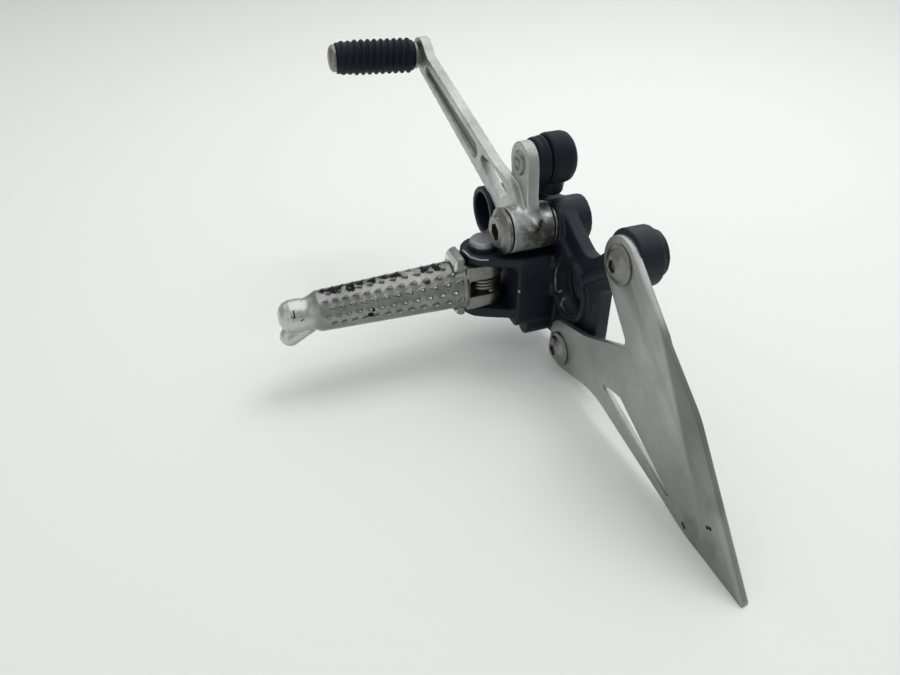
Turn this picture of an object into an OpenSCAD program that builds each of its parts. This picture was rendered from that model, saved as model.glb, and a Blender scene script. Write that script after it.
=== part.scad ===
// Left rear set: bracket, folding footpeg, gear lever and heel guard.
// X points forward along the peg's fold pin, Y points away from the machine, Z points up.
// The origin is the axis of the lower mounting bore, on the face that meets the frame.

/* [Mounting] */
// Radius of the lower mounting boss
mount_r = 13; // [12:0.5:14]
// Outboard face of the lower mounting boss
mount_len = 40; // [36:0.5:42]
// Radius of the lower mounting bore
mount_bore_r = 5.25; // [4.25:0.25:6.25]
// Radius of the recess round the mounting bolt's head
recess_r = 10; // [8.5:0.25:10.5]
// Metal left under the mounting bolt's head
mount_seat = 14; // [10:1:20]
// Upper mount, forward of the lower one
upper_x = 20; // [17:0.5:23]
// Upper mount, above the lower one
upper_z = 101.5; // [99:0.5:105]
// Frame side of the upper mounting boss
upper_in = 3; // [0:0.5:5]
// Radius of the upper mounting boss
upper_boss_r = 10.4; // [9:0.2:12]
// Radius of the flange round the upper boss
upper_flange_r = 13; // [12.5:0.5:15]

/* [Bracket] */
// Frame side of the plate
plate_in = 8; // [6:0.5:9]
// Outboard side of the plate
plate_out = 15; // [13:0.5:16]
// Outboard face of the machined seats
seat = 18; // [17:0.5:20]
// Radius of the lever boss
pivot_boss_r = 11.8; // [10:0.2:12.4]
// Large plain hole, backward of the lower mount
hole_x = -20; // [-22:0.5:-18]
// Large plain hole, above the lower mount
hole_z = 56; // [54:0.5:58]
// Radius of the large plain hole
hole_r = 14; // [11:0.5:14.5]
// Wall of the collar round the large hole
hole_wall = 3.2; // [2.4:0.2:4]
// Width of the ribs
rib_w = 5; // [3:0.5:8]

/* [Footpeg] */
// Peg axis, backward of the lower mount
peg_x = -26; // [-28:0.5:-24]
// Fold pin, above the lower mount
pin_z = 21; // [19:0.5:23]
// Fold pin, outboard of the frame face
pin_y = 47.5; // [47:0.5:52]
// Radius of the fold pin
pin_r = 5; // [4:0.25:5.5]
// Clear width between the two ears
ear_gap = 25; // [24:0.5:26]
// Thickness of each ear
ear_t = 5.2; // [4:0.2:6]
// Radius of each ear
ear_r = 12; // [10.5:0.5:12.5]
// Fold pin to the tip of the peg
peg_len = 106.3; // [90:0.1:120]
// Radius of the peg at its shoulder
peg_root_r = 13; // [12:0.25:13]
// Radius of the peg at its neck
peg_end_r = 10.2; // [9:0.2:11]
// Rows of studs round the peg
stud_rows = 6; // [4:1:7]
// Studs along each row
stud_cols = 12; // [8:1:13]
// Height of a stud
stud_h = 1.9; // [1:0.1:2.2]
// Radius of the fork's eyes
fork_eye_r = 10.2; // [9:0.2:10.4]
// Width of the fork's slot
fork_slot = 9.4; // [9.4:0.2:11]

/* [Spring] */
// Radius of the spring wire
wire_r = 0.85; // [0.6:0.05:0.85]
// Turns of the return spring
coils = 4; // [3:1:4]

/* [Gear lever] */
// Lever pivot, forward of the lower mount
pivot_x = 5.5; // [4:0.5:7]
// Lever pivot, above the lower mount
pivot_z = 33; // [32:0.5:36]
// Pivot to the toe pin
lever_len = 130; // [115:1:140]
// Angle of the lever below the forward direction, as it hangs
lever_drop = 65.8; // [60:0.2:66]
// Radius of the lever hub
hub_r = 11.3; // [10.8:0.1:11.8]
// Length of the lever hub
hub_len = 21; // [20:0.5:24]
// Thickness of the lever blade
blade_t = 5.6; // [5:0.2:7]
// Outward slope of the blade
blade_slope = 3.6; // [2:0.2:5]
// Depth of the long pocket in the blade
pocket_d = 1.8; // [1:0.1:2.4]
// Pivot to the ball stud
arm_len = 32; // [31:0.5:34]
// Angle from the blade to the linkage arm
arm_angle = 57.7; // [55:0.5:62]
// Radius of the linkage arm's eye
eye_r = 9.8; // [9:0.2:10.4]
// Thickness of the linkage arm
arm_t = 6; // [5:0.25:6.5]

/* [Toe piece] */
// Lean of the toe pin away from the pivot
toe_cant = 5; // [0:0.5:8]
// Radius of the rubber sleeve over its ribs
sleeve_r = 9.4; // [8.6:0.2:10.4]
// Length of the rubber sleeve
sleeve_len = 43.5; // [38:1:50]
// Ribs on the rubber sleeve
sleeve_ribs = 11; // [8:1:14]
// Radius of the toe pin's head
toe_head_r = 7.2; // [7:0.1:7.8]

/* [Linkage joint] */
// Radius of the ball
ball_r = 5; // [4:0.25:5]
// Radius of the socket housing
housing_r = 8.5; // [7.5:0.25:9]
// Radius of the rubber cap
cap_r = 12.2; // [11.4:0.2:12.4]
// Radius of the threaded shank
shank_r = 6.4; // [5.5:0.2:6.8]
// Radius of the threaded bore in the shank
thread_r = 3; // [2.5:0.25:3.5]
// Lean of the shank, toward the ground side
shank_lean = 12; // [0:1:20]

/* [Heel guard] */
// Thickness of the guard plate
guard_t = 3; // [2:0.25:4]
// Lower guard bolt, backward of the lower mount
low_x = -52; // [-53:0.5:-50]
// Lower guard bolt, above the lower mount
low_z = 61; // [60:0.5:63]
// Height of the guard's tip above its upper bolt
guard_h = 108; // [96:1:120]
// Reach of the guard's tip behind its upper bolt
guard_d = 88; // [80:1:96]
// Angle of the folded strip
fold_a = 14; // [6:1:20]
// Radius of the bolt heads
head_r = 8.9; // [7.5:0.1:9.2]
// Height of the bolt heads
head_h = 4.2; // [3.5:0.1:5]

/* [Hidden] */
$fn = 72;
// Degrees between the points of an arc in an outline
arc_step = 9;
// Length by which a cut runs past the faces that it opens
over = 1;
// Gap between parts that slide on each other
slip = 0.1;
// Radial gap of a running fit
running = 0.08;
// Gap between curved faces that don't touch
air = 0.3;
// Radius of the guard bolts and of the pivot bolt's thread
bolt_r = 4;
// Step that keeps a cast outline inside the boss that it joins
inset = 0.4;
// Depth of the tapped hole on the frame side of the upper boss
tap_depth = 6;
// Chamfer on turned ends
chamfer = 0.8;

// Direction of an angle, in a plane
function unit(a) = [cos(a), sin(a)];
// Angle of the outward normal of the tangent from circle i to the next circle
function leave(c, i) = let(a = c[i], b = c[(i + 1) % len(c)], d = [b.x - a.x, b.y - a.y])
    atan2(d.y, d.x) - acos((a.z - b.z) / norm(d));
// Turn made round circle i, anticlockwise where its radius is positive
function turn(c, i) = let(t = leave(c, i) - leave(c, (i + len(c) - 1) % len(c)))
    c[i].z > 0 ? (t % 360 + 360) % 360 : -((-t % 360 + 360) % 360);
// Outline of a belt drawn round circles [x, y, radius]; a negative radius bends the belt inward
function belt(c) = [for (i = [0 : len(c) - 1])
    let(a = leave(c, (i + len(c) - 1) % len(c)), t = turn(c, i), n = max(1, ceil(abs(t) / arc_step)))
    for (k = [0 : n]) [c[i].x, c[i].y] + c[i].z * unit(a + t * k / n)];

// Flat piece whose outline is drawn in X and Z, from y0 to y1
module slab(y0, y1) {
    translate([0, y1, 0]) rotate([90, 0, 0]) linear_extrude(y1 - y0) children();
}
// Turned piece about a line along Y at [x, z]; its outline is drawn as radius and Y
module lathe(x, z) {
    translate([x, 0, z]) rotate([-90, 0, 0]) rotate_extrude() children();
}
// Round bar along Y at [x, z]
module bar(x, z, r, y0, y1) {
    translate([x, y0, z]) rotate([-90, 0, 0]) cylinder(h = y1 - y0, r = r);
}
// Round bar along X at [y, z]
module rod(y, z, r, x0, x1) {
    translate([x0, y, z]) rotate([0, 90, 0]) cylinder(h = x1 - x0, r = r);
}
// Six-sided socket along Y, open toward +Y
module hex_socket(x, z, across, y0, y1) {
    translate([x, y0, z]) rotate([-90, 0, 0]) cylinder(h = y1 - y0, d = across / cos(30), $fn = 6);
}

// Bracket: a cast plate with ribs, three bosses, a guard lug and the clevis of the peg
low_lug_r = 10.3;
clevis_x = peg_x - ear_gap / 2;
ear_front = peg_x + ear_gap / 2;
block_wall = 4.8;
block_out = pin_y - ear_r * 0.9;
block_top = pin_z + ear_r * 1.75;
block_bottom = pin_z - ear_r;
block_rear = clevis_x - ear_t - block_wall;
block_front = ear_front + ear_t / 2;
corner_r = 4;
core_wall = 6;
rib_in = 2;
heel_r = 6;
heel_out = block_out * 0.82;
heel_x = block_rear - heel_r * 0.35;
heel_z = block_top - heel_r - 2 * inset;
// The large hole steps in at its frame side, and the upper boss and its tapped hole stand forward of the guard's bolt
hole_in = 3;
hole_step = 8;
hole_step_share = 0.75;
flange_shift = [1.4, -1];
tap_shift = [1.6, -1.1];
tap_x = upper_x + tap_shift.x;
tap_z = upper_z + tap_shift.y;
// Centres of the plate's curves between its bosses, as shares of the upper mount's height, and their radii
waist_share = [0.146, 0.65];
crook_share = [-0.092, 0.852];
lobe_share = [-0.315, 0.69];
waist_r = 11;
crook_r = 5;
lobe_r = 12;
plate_outline = belt([[0, 0, mount_r - inset], [pivot_x, pivot_z, pivot_boss_r - inset],
    [upper_z * waist_share.x, upper_z * waist_share.y, -waist_r],
    [upper_x, upper_z, upper_boss_r],
    [upper_z * crook_share.x, upper_z * crook_share.y, -crook_r],
    [upper_z * lobe_share.x, upper_z * lobe_share.y, lobe_r],
    [low_x, low_z, low_lug_r - inset], [heel_x, heel_z, heel_r - inset],
    [block_rear + corner_r, block_bottom + corner_r, corner_r - inset]]);
block_outline = belt([
    [block_front - corner_r, block_bottom + corner_r, corner_r],
    [block_front - corner_r, block_top - corner_r, corner_r],
    [block_rear + corner_r, block_top - corner_r, corner_r],
    [block_rear + corner_r, block_bottom + corner_r, corner_r]]);
heel_outline = belt([[heel_x, heel_z, heel_r], [clevis_x, block_bottom + 2 * corner_r, corner_r],
    [clevis_x, heel_z, heel_r]]);
core_outline = belt([
    [ear_front - core_wall - corner_r, block_bottom + core_wall + corner_r, corner_r],
    [ear_front - core_wall - corner_r, block_top - core_wall - corner_r, corner_r],
    [clevis_x + corner_r, block_top - core_wall - corner_r, corner_r],
    [clevis_x + corner_r, block_bottom + core_wall + corner_r, corner_r]]);
ear_low = corner_r + 2 * inset;
ear_outline = belt([[pin_y, pin_z, ear_r], [block_out - corner_r, block_top - ear_low, corner_r],
    [plate_in + ear_low, block_top - ear_low, corner_r], [plate_in + ear_low, block_bottom + ear_low, corner_r]]);

// Rib between two points of the plate, from y0 to y1
module rib(y0, y1, x0, z0, x1, z1) {
    slab(y0, y1) polygon(belt([[x0, z0, rib_w / 2], [x1, z1, rib_w / 2]]));
}
module ear(x0) {
    translate([x0, 0, 0]) rotate([90, 0, 90]) linear_extrude(ear_t) polygon(ear_outline);
}
module bracket_body() {
    slab(plate_in, plate_out) polygon(plate_outline);
    slab(plate_in, block_out) polygon(block_outline);
    slab(plate_in, heel_out) polygon(heel_outline);
    ear(ear_front);
    ear(clevis_x - ear_t);
    bar(0, 0, mount_r, 0, mount_len);
    bar(pivot_x, pivot_z, pivot_boss_r, 0, seat);
    bar(tap_x, tap_z, upper_boss_r, upper_in, plate_in + over);
    bar(upper_x + flange_shift.x, upper_z + flange_shift.y, upper_flange_r, plate_in - over, seat);
    bar(low_x, low_z, low_lug_r, plate_in - over, seat);
    bar(hole_x, hole_z, hole_r + hole_wall, hole_in, seat);
    rib(plate_out - over, seat - inset, hole_x + hole_r, hole_z + hole_r, upper_x, upper_z);
    rib(plate_out - over, seat - inset, pivot_x, pivot_z, hole_x + hole_r, hole_z);
    rib(rib_in, plate_in + over, 0, 0, block_rear + corner_r, block_bottom + corner_r);
    rib(rib_in, plate_in + over, low_x, low_z, heel_x, heel_z);
}
module bracket() {
    color([0.09, 0.1, 0.11]) difference() {
        bracket_body();
        slab(-over, block_out - core_wall) polygon(core_outline);
        bar(0, 0, mount_bore_r, -over, mount_seat + over);
        bar(0, 0, recess_r, mount_seat, mount_len + over);
        bar(pivot_x, pivot_z, bolt_r + running, -over, seat + over);
        bar(tap_x, tap_z, bolt_r + running, upper_in - over, upper_in + tap_depth);
        bar(upper_x, upper_z, bolt_r + running, seat - bolt_len - air, seat + over);
        bar(low_x, low_z, bolt_r + running, -over, seat + over);
        bar(hole_x, hole_z, hole_r * hole_step_share, -over, seat + over);
        bar(hole_x, hole_z, hole_r, hole_step, seat + over);
        bar(hole_x, hole_z, snap_seat_r, snap_y - snap_wire_r - slip, snap_y + snap_wire_r + slip);
        rod(pin_y, pin_z, pin_r + running, clevis_x - ear_t - over, ear_front + ear_t + over);
    }
}

// Snap ring of round wire in the large hole, with two fingers that point inward
snap_wire_r = 0.8;
snap_seat_r = hole_r + snap_wire_r;
snap_r = hole_r - slip;
snap_y = seat - 2 * snap_wire_r;
snap_open = 14;
snap_turn = 218;
finger_len = 6;
module snap_finger(a) {
    rotate([0, 0, a]) translate([snap_r - finger_len, 0, 0]) rotate([0, 90, 0]) cylinder(h = finger_len, r = snap_wire_r);
}
module mount_snap_ring() {
    color("silver") translate([hole_x, snap_y, hole_z]) rotate([90, 0, 0]) rotate([0, 0, snap_turn]) {
        rotate([0, 0, snap_open]) rotate_extrude(angle = 360 - 2 * snap_open)
            translate([snap_r, 0]) circle(r = snap_wire_r);
        snap_finger(snap_open);
        snap_finger(-snap_open);
    }
}

// Fold pin, its washer under the head and the clip in its groove
pin_head_r = 7;
pin_head_h = 3.2;
pin_washer_r = 8;
pin_washer_t = 1.5;
pin_end = 4;
clip_t = 1;
clip_r = 8;
clip_seat_r = pin_r * 0.8;
clip_mouth_share = 0.8;
head_x = ear_front + ear_t + pin_washer_t;
clip_x = clevis_x - ear_t - slip - clip_t;
module peg_pin() {
    color("silver") difference() {
        union() {
            rod(pin_y, pin_z, pin_r, clevis_x - ear_t - pin_end, head_x + over);
            rod(pin_y, pin_z, pin_head_r, head_x, head_x + pin_head_h - chamfer);
            translate([head_x + pin_head_h - chamfer, pin_y, pin_z]) rotate([0, 90, 0])
                cylinder(h = chamfer, r1 = pin_head_r, r2 = pin_head_r - chamfer);
        }
        difference() {
            rod(pin_y, pin_z, pin_r + over, clip_x - slip / 2, clip_x + clip_t + slip / 2);
            rod(pin_y, pin_z, clip_seat_r, clip_x - over, clip_x + clip_t + over);
        }
    }
}
module peg_pin_washer() {
    color([0.2, 0.2, 0.21]) difference() {
        rod(pin_y, pin_z, pin_washer_r, ear_front + ear_t, head_x);
        rod(pin_y, pin_z, pin_r + running, ear_front + ear_t - over, head_x + over);
    }
}
module peg_pin_clip() {
    color("silver") difference() {
        rod(pin_y, pin_z, clip_r, clip_x, clip_x + clip_t);
        rod(pin_y, pin_z, clip_seat_r + running, clip_x - over, clip_x + clip_t + over);
        translate([clip_x - over, pin_y - clip_seat_r * clip_mouth_share, pin_z - clip_r - over])
            cube([clip_t + 2 * over, 2 * clip_seat_r * clip_mouth_share, clip_r + over]);
    }
}

// Footpeg: a studded cone on a slotted fork, with a rounded nose and a side lobe at the tip
base_at = ear_r + slip;
shoulder = base_at + air;
shoulder_len = 1;
shoulder_step = 0.5;
slot_end = 11.5;
studs_at = shoulder + 3 * shoulder_len;
nose_len = 18.3;
neck_at = peg_len - nose_len;
neck_round = 1;
nose_r = 8.2;
lobe_r_tip = 5.2;
lobe_root = 4.2;
lobe_len = 16.5;
lobe_tilt = 25;
// Stop collar: a bar across the fork's end that meets the ears
collar_reach = 16.8;
barrel_shift = 1.2;
collar_half = 7;
collar_t = 6;
collar_round = 5;
fork_half = ear_gap / 2 - air;
slot_x = peg_x - (ear_gap - 2 * air) * 0.016;
stud_span = 107;
stud_turn = 44;
stud_first = studs_at + stud_h;
stud_last = neck_at - 2 * stud_h;
stud_len = 5.6;
stud_width = 4;
stud_heel_share = 0.42;
stud_peak_share = 0.3;
stud_crowding = 0.2;
stud_sink = 0.7;
stud_taper_share = 0.25;
root_r = peg_root_r - 0.25 * stud_h;
// Radius of the peg at a distance from the fold pin
function peg_r(s) = root_r + (peg_end_r - root_r) * (s - studs_at) / (neck_at - studs_at);
// A stud is a three-sided tooth that points to the tip, with its peak near its heel
module stud(s, a) {
    size = 1 - stud_taper_share * (s - stud_first) / (stud_last - stud_first);
    back = -stud_len * stud_heel_share;
    rotate([0, 0, a]) translate([peg_r(s), 0, s]) scale(size) polyhedron(
        [[-stud_sink, -stud_width / 2, back], [-stud_sink, stud_width / 2, back],
            [-stud_sink, 0, back + stud_len], [stud_h, 0, -stud_len * stud_peak_share]],
        [[0, 1, 2], [0, 3, 1], [1, 3, 2], [2, 3, 0]]);
}
// Rows are staggered, and the studs stand closer together towards the tip
function stud_place(t) = stud_first + (stud_last - stud_first) * t * (1 + stud_crowding * (1 - t));
module studs() {
    for (row = [0 : stud_rows - 1], col = [0 : stud_cols - 1])
        stud(stud_place((col + (row % 2) / 2) / (stud_cols - 0.5)), stud_turn + stud_span * (row / (stud_rows - 1) - 0.5));
}
// Nose of the peg beyond its studs, as shares of the nose's radius and length
nose_shares = [[1.1, 0.08], [0.97, 0.22], [0.94, 0.3], [1, 0.4], [1, 0.68], [0.88, 0.84], [0.62, 0.95], [0.3, 1], [0, 1]];
module peg_blank() {
    rotate_extrude() polygon(concat([[0, base_at], [peg_root_r - neck_round, base_at], [peg_root_r, shoulder],
        [peg_root_r, shoulder + shoulder_len], [peg_root_r - shoulder_step, shoulder + 2 * shoulder_len],
        [root_r, studs_at], [peg_end_r, neck_at - neck_round]],
        [for (p = nose_shares) [nose_r * p.x, neck_at + nose_len * p.y]]));
    translate([lobe_root, 0, neck_at - neck_round]) rotate([0, lobe_tilt, 0]) {
        cylinder(h = lobe_len, r1 = lobe_root, r2 = lobe_r_tip);
        translate([0, 0, lobe_len]) sphere(r = lobe_r_tip);
    }
}
collar_outline = belt([[-collar_reach + neck_round, shoulder + neck_round, neck_round],
    [collar_reach - neck_round, shoulder + neck_round, neck_round],
    [collar_reach - collar_round, shoulder + collar_t - collar_round, collar_round],
    [-collar_reach + collar_round, shoulder + collar_t - collar_round, collar_round]]);
module footpeg() {
    color([0.72, 0.72, 0.7]) difference() {
        translate([peg_x, pin_y, pin_z]) {
            translate([-barrel_shift, 0, 0]) {
                rotate([-90, 90, 0]) rotate([0, 0, 90]) peg_blank();
                rotate([-90, 0, 0]) rotate([0, 0, -90]) studs();
            }
            rotate([0, 90, 0]) translate([0, 0, -fork_half]) cylinder(h = 2 * fork_half, r = fork_eye_r);
            translate([-fork_half, 0, -fork_eye_r]) cube([2 * fork_half, slot_end + over, 2 * fork_eye_r]);
            translate([0, 0, -collar_half]) linear_extrude(2 * collar_half) polygon(collar_outline);
        }
        rod(pin_y, pin_z, pin_r + running, peg_x - fork_half - over, peg_x + fork_half + over);
        translate([slot_x - fork_slot / 2, pin_y - fork_eye_r - over, pin_z - fork_eye_r - over])
            cube([fork_slot, fork_eye_r + slot_end, 2 * (fork_eye_r + over)]);
    }
}

// Return spring: round wire wound on the pin, with one leg to the peg and one to the bracket
coil_r = pin_r + 2 * air + wire_r;
coil_pitch = (fork_slot - 2 * wire_r - 2 * air) / coils;
wire_sides = 8;
turn_steps = 20;
coil_x = slot_x - coil_pitch * coils / 2;
peg_leg = slot_end - over - coil_r - slip;
web_leg = pin_y - block_out - wire_r - slip;
web_reach = 2.4;
// Centre line of the wire, from the bracket's leg to the peg's leg
spring_path = concat(
    [[coil_x, -web_leg, coil_r + web_reach]],
    [for (k = [0 : coils * turn_steps]) let(a = 360 * k / turn_steps)
        [coil_x + coil_pitch * k / turn_steps, coil_r * sin(a), coil_r * cos(a)]],
    [[coil_x + coil_pitch * coils, coil_r + peg_leg, coil_r]]);
function along(p, i) = let(d = p[min(i + 1, len(p) - 1)] - p[max(i - 1, 0)]) d / norm(d);
// Ring of points round the path at its point i
function wire_ring(p, i) = let(t = along(p, i), u = cross([1, 0, 0], t), a = u / norm(u), b = cross(t, a))
    [for (k = [0 : wire_sides - 1]) p[i] + wire_r * (cos(360 * k / wire_sides) * a + sin(360 * k / wire_sides) * b)];
module wire(p) {
    rings = len(p);
    points = [for (i = [0 : rings - 1]) each wire_ring(p, i)];
    sides = [for (i = [0 : rings - 2], k = [0 : wire_sides - 1]) let(n = (k + 1) % wire_sides)
        [i * wire_sides + k, i * wire_sides + n, (i + 1) * wire_sides + n, (i + 1) * wire_sides + k]];
    first = [for (k = [wire_sides - 1 : -1 : 0]) k];
    last = [for (k = [0 : wire_sides - 1]) (rings - 1) * wire_sides + k];
    polyhedron(points, concat(sides, [first, last]));
}
module peg_spring() {
    color("silver") translate([0, pin_y, pin_z]) wire(spring_path);
}

// Gear lever: one forging of hub, blade, toe boss and linkage arm
hub_gap = 2;
hub_in = seat + hub_gap;
hub_out = hub_in + hub_len;
seal_depth = 1.2;
seal_r = 10.3;
seal_wire_r = 0.85;
bush_r = 8;
toe_boss_r = 9.3;
toe_drop = 0.5;
blade_y = hub_out - hub_len * 0.2;
arm_out = hub_in + hub_len * 0.645;
// Circles of the blade's sides and cuts, as shares of the lever's length: along it, across it, radius
front_shares = [[0.465, 0.027, 0.0554], [0.264, 0.217, -0.119], [0.093, 0.085, 0.05]];
window_shares = [[0.155, 0.035, 0.0265], [0.31, 0.041, 0.0235]];
pocket_shares = [[0.4, 0.022, 0.034], [0.9, -0.011, 0.02]];
// Place of the lower mount seen from the pivot: along the lever and across it
mount_along = -pivot_x * cos(lever_drop) + pivot_z * sin(lever_drop);
mount_across = -pivot_x * sin(lever_drop) - pivot_z * cos(lever_drop);
// The blade's lower side curves round the lower boss, which is the lever's stop
back_curve_share = 0.31;
back_curve = lever_len * back_curve_share;
back_circle = [mount_along, mount_across + mount_r + slip - back_curve, -back_curve];
toe_circle = [lever_len * 0.995, lever_len * 0.004, toe_boss_r * 0.96];
// The concave corner under the toe boss, from the boss: along and across the lever, and radius, in boss radii
toe_corner_share = [-1.231, 1.677, -1.076];
toe_corner = [toe_circle.x, toe_circle.y, 0] + toe_boss_r * toe_corner_share;
function lever_circles(shares) = [for (c = shares) c * lever_len];
blade_outline = belt(concat([[0, 0, hub_r], back_circle, toe_circle, toe_corner], lever_circles(front_shares)));
// Circles of the linkage arm's two sides, as shares of its length: along it, across it, radius
arm_shares = [[0.55, -0.765, -0.484], [0.55, 0.78, -0.515]];
arm_outline = belt([[0, 0, hub_r - inset], arm_shares[0] * arm_len, [arm_len, 0, eye_r], arm_shares[1] * arm_len]);
module on_blade() {
    translate([0, blade_y, 0]) rotate([0, 0, blade_slope]) children();
}
module at_pivot() {
    translate([pivot_x, 0, pivot_z]) rotate([0, lever_drop, 0]) children();
}
// Place of the toe pin in the lever's frame, with Y along the pin from the blade's face
module toe_place() {
    on_blade() translate([lever_len, 0, -toe_drop]) rotate([0, 0, -toe_cant - blade_slope]) children();
}
module gear_lever() {
    color([0.75, 0.75, 0.74]) at_pivot() difference() {
        union() {
            bar(0, 0, hub_r, hub_in, hub_out);
            on_blade() slab(-blade_t, 0) polygon(blade_outline);
            rotate([0, -arm_angle, 0]) slab(arm_out - arm_t, arm_out) polygon(arm_outline);
        }
        on_blade() {
            slab(-blade_t - over, over) polygon(belt(lever_circles(window_shares)));
            slab(-pocket_d, over) polygon(belt(lever_circles(pocket_shares)));
        }
        bar(0, 0, bush_r, hub_in - over, hub_out + over);
        bar(0, 0, seal_r, hub_in - over, hub_in + seal_depth);
        bar(0, 0, seal_r, hub_out - seal_depth, hub_out + over);
        rotate([0, -arm_angle, 0]) bar(arm_len, 0, stud_shank_r + slip, arm_out - arm_t - over, arm_out + over);
        toe_place() bar(0, 0, toe_rivet_r + slip, -blade_t - 2 * over, 2 * over);
    }
}

// Bush, seals, washer and bolt of the lever's pivot
shoulder_r = 6;
washer_t = 1.2;
washer_r = 10.8;
bush_in = seat + washer_t + slip;
bush_out = hub_out + seal_wire_r - seal_depth * 0.2;
flange_y = bush_out + slip;
flange_t = 1.9;
flange_r = 11.4;
cone_h = 2;
cone_r = 7.6;
face_h = 1.2;
bolt_hex = 8;
hex_depth = 5;
pivot_thread = 15;
module tube(r_out, r_in, y0, y1) {
    difference() {
        bar(pivot_x, pivot_z, r_out, y0, y1);
        bar(pivot_x, pivot_z, r_in, y0 - over, y1 + over);
    }
}
module lever_bush() {
    color([0.55, 0.5, 0.4]) tube(bush_r, shoulder_r + running, bush_in, bush_out);
}
module seal(y) {
    lathe(pivot_x, pivot_z) translate([bush_r + seal_wire_r + 2 * slip, y]) circle(r = seal_wire_r, $fn = 24);
}
module lever_seals() {
    color([0.05, 0.05, 0.05]) {
        seal(seat + washer_t + slip + seal_wire_r);
        seal(flange_y - slip - seal_wire_r);
    }
}
module lever_washer() {
    color("silver") tube(washer_r, shoulder_r + running, seat, seat + washer_t);
}
module pivot_bolt() {
    top = flange_y + flange_t + cone_h + face_h;
    color([0.65, 0.65, 0.66]) difference() {
        lathe(pivot_x, pivot_z) polygon([[0, seat - pivot_thread], [bolt_r - chamfer, seat - pivot_thread],
            [bolt_r, seat - pivot_thread + chamfer], [bolt_r, seat], [shoulder_r, seat], [shoulder_r, flange_y],
            [flange_r, flange_y], [flange_r, flange_y + flange_t], [cone_r + chamfer, flange_y + flange_t + cone_h],
            [cone_r, top], [0, top]]);
        hex_socket(pivot_x, pivot_z, bolt_hex, top - hex_depth, top + over);
    }
}

// Toe pin and its ribbed rubber sleeve
toe_rivet_r = 4;
toe_rivet_h = 1;
toe_seat = 1.3;
toe_collar = 3.5;
toe_core_r = 6.4;
toe_head_t = 4.2;
sleeve_end = toe_collar + sleeve_len;
rib_depth = 1.3;
rib_wear = 0.5;
sleeve_edge = 1.5;
rib_pitch = (sleeve_len - 2 * sleeve_edge) / sleeve_ribs;
// Domed head of the toe pin, as shares of its radius and of its thickness
dome_shares = [[1, 0], [1, 0.35], [0.9, 0.65], [0.68, 0.86], [0.38, 0.97], [0, 1]];
// One rib of the sleeve, as shares of its depth below the crest and of the pitch
rib_shares = [[1, 0], [0.2, 0.22], [0, 0.4], [0.2, 0.58], [1, 0.8]];
module toe_pin() {
    color("silver") at_pivot() toe_place() lathe(0, 0) polygon(concat(
        [[0, -blade_t - toe_rivet_h], [toe_rivet_r - chamfer, -blade_t - toe_rivet_h], [toe_rivet_r, -blade_t],
        [toe_rivet_r, toe_seat], [toe_head_r, toe_seat], [toe_head_r, toe_collar - chamfer],
        [toe_core_r, toe_collar], [toe_core_r, sleeve_end]],
        [for (p = dome_shares) [toe_head_r * p.x, sleeve_end + toe_head_t * p.y]]));
}
// Outline of rib k, as radius and distance along the sleeve; the last two are worn
function sleeve_rib(k) = let(crest = sleeve_r - (k > sleeve_ribs - 3 ? rib_wear : 0), s = toe_collar + sleeve_edge + rib_pitch * k)
    [for (p = rib_shares) [crest - (rib_depth - sleeve_r + crest) * p.x, s + rib_pitch * p.y]];
module toe_rubber() {
    color([0.06, 0.06, 0.06]) at_pivot() toe_place() lathe(0, 0) polygon(concat(
        [[toe_core_r + running, toe_collar + slip], [sleeve_r - rib_depth, toe_collar + slip]],
        [for (k = [0 : sleeve_ribs - 1]) each sleeve_rib(k)],
        [[sleeve_r - rib_depth, sleeve_end - slip], [toe_core_r + running, sleeve_end - slip]]));
}

// Ball stud, socket end, bellows and cap of the linkage joint
stud_shank_r = 4;
stud_neck_r = 3;
stud_flange_r = 6.6;
stud_flange_t = 1.6;
rivet_r = 6;
rivet_h = 1.2;
arm_in = arm_out - arm_t;
ball_sink = 3.5;
ball_y = seat - ball_sink;
housing_in = ball_y - shank_r - slip;
housing_out = ball_y + shank_r + slip;
boot_r = 11.2;
boot_in = housing_out + slip;
cap_wall = 1.2;
cap_in = housing_in - cap_wall;
shank_gap = 2.2;
shank_len = arm_len - pivot_boss_r - shank_gap;
thread_depth = shank_len - ball_r - shank_gap;
ball_angle = arm_angle - lever_drop;
ball_x = pivot_x + arm_len * cos(ball_angle);
ball_z = pivot_z + arm_len * sin(ball_angle);
// Riveted end of the stud, as shares of its radius and of its height
rivet_shares = [[1, 0], [0.88, 1], [0.55, 1], [0.45, 0.4], [0.25, 1], [0, 1.2]];
// Side of the bellows, as folds in from its radius and shares of its height
boot_folds = 0.6;
boot_shares = [[1.5, 0], [0, 0.14], [0, 0.36], [1.1, 0.5], [0.4, 0.62], [0.6, 0.86], [1.8, 1]];
// Side of the cap, as shares of its radius and of its height
cap_shares = [[0, 0], [0.5, 0.02], [0.8, 0.1], [0.95, 0.22], [1, 0.38], [1, 0.9], [0.97, 0.97], [0.9, 1]];
module ball_stud() {
    color([0.6, 0.6, 0.61]) {
        lathe(ball_x, ball_z) polygon(concat([[0, ball_y], [stud_neck_r, ball_y],
            [stud_neck_r, arm_in - stud_flange_t], [stud_flange_r, arm_in - stud_flange_t], [stud_flange_r, arm_in],
            [stud_shank_r, arm_in], [stud_shank_r, arm_out]],
            [for (p = rivet_shares) [rivet_r * p.x, arm_out + rivet_h * p.y]]));
        translate([ball_x, ball_y, ball_z]) sphere(r = ball_r);
    }
}
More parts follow.
